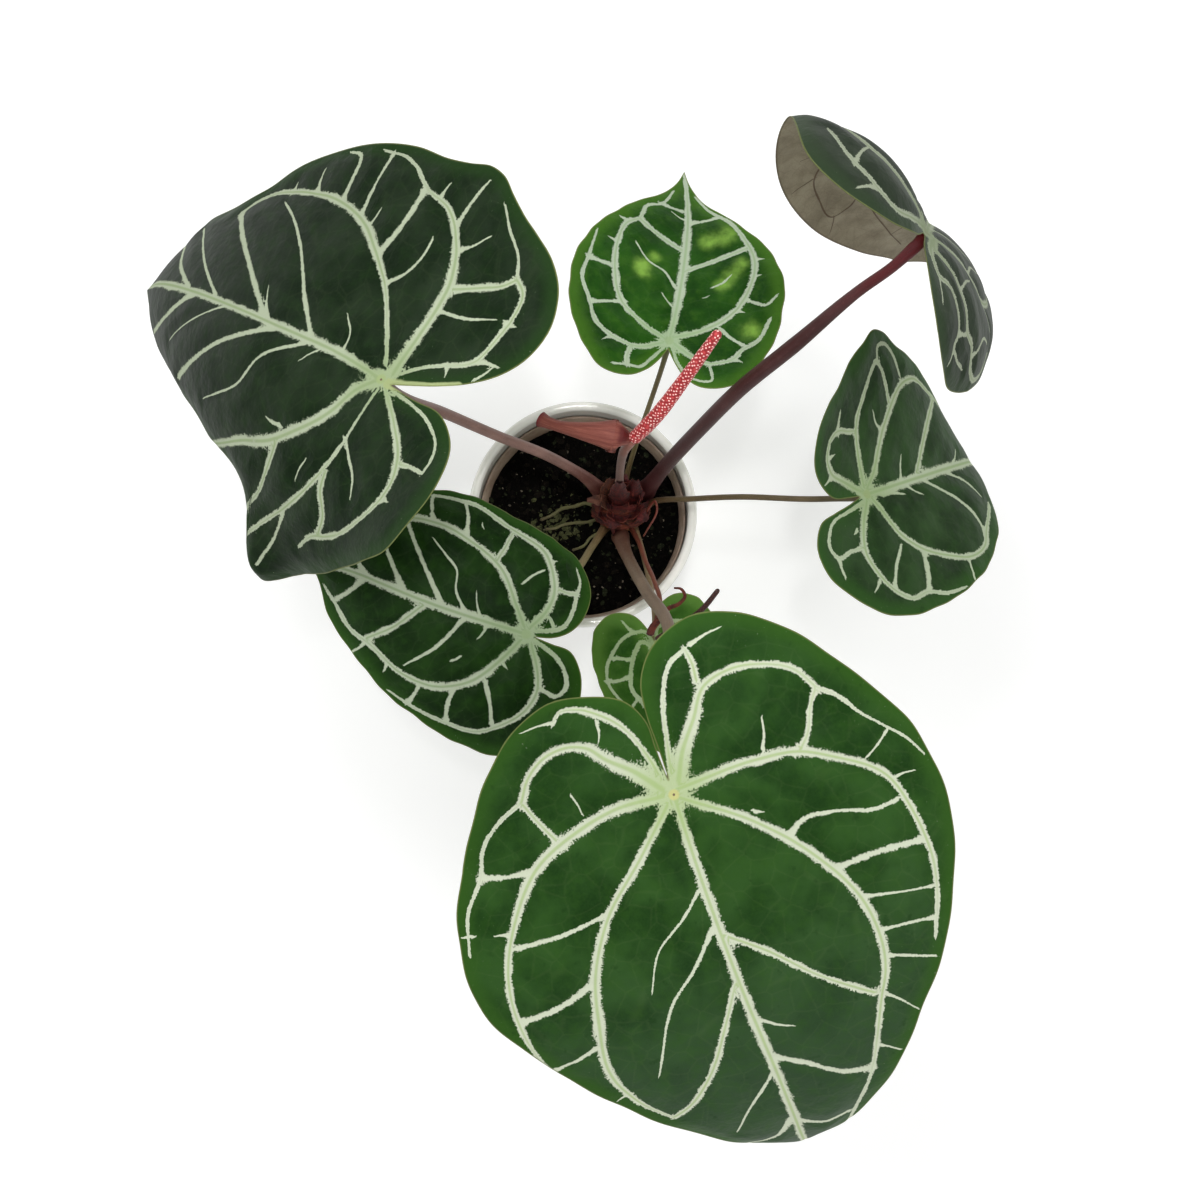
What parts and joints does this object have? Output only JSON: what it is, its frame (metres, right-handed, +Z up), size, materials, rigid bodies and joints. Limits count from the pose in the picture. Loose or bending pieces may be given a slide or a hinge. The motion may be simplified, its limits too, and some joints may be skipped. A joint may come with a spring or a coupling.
{
  "type": "potted anthurium",
  "caption": "Velvet-leaved anthurium with pale-veined heart-shaped leaves and a coral flower spike, in a white glazed cover pot.",
  "frame": {"origin": "centre of the cover pot's flat base, on the floor", "axes": "+Z up; -Y towards the largest leaf, which reaches to the front; -X towards the left leaf"},
  "size_m": [0.4627, 0.5142, 0.3612],
  "materials": {
    "white_glaze": "gloss",
    "taupe_plastic": "matte",
    "potting_mix": "matte",
    "leaf_green": "satin",
    "stalk_taupe": "satin",
    "dry_scale": "matte",
    "salmon_bract": "satin",
    "coral_spike": "satin",
    "root_tan": "matte"
  },
  "bodies": {
    "root": {"cover_pot": "white_glaze", "nursery_pot": "taupe_plastic", "soil": "potting_mix", "crown_stem": "dry_scale", "leaf_front": "leaf_green", "petiole_front": "stalk_taupe", "leaf_left": "leaf_green", "petiole_left": "stalk_taupe", "leaf_low_left": "leaf_green", "petiole_low_left": "stalk_taupe", "leaf_back": "leaf_green", "petiole_back": "stalk_taupe", "leaf_hanging": "leaf_green", "petiole_hanging": "stalk_taupe", "leaf_right": "leaf_green", "petiole_right": "stalk_taupe", "leaf_small": "leaf_green", "petiole_small": "stalk_taupe", "cataphyll_1": "dry_scale", "cataphyll_2": "dry_scale", "cataphyll_3": "dry_scale", "cataphyll_4": "dry_scale", "cataphyll_5": "dry_scale", "peduncle": "stalk_taupe", "spathe": "salmon_bract", "spadix": "coral_spike", "old_peduncle": "salmon_bract", "old_spathe": "salmon_bract", "old_spadix": "coral_spike", "dried_strand": "salmon_bract", "root_1": "root_tan", "root_2": "root_tan", "root_3": "root_tan"}
  },
  "joints": []
}
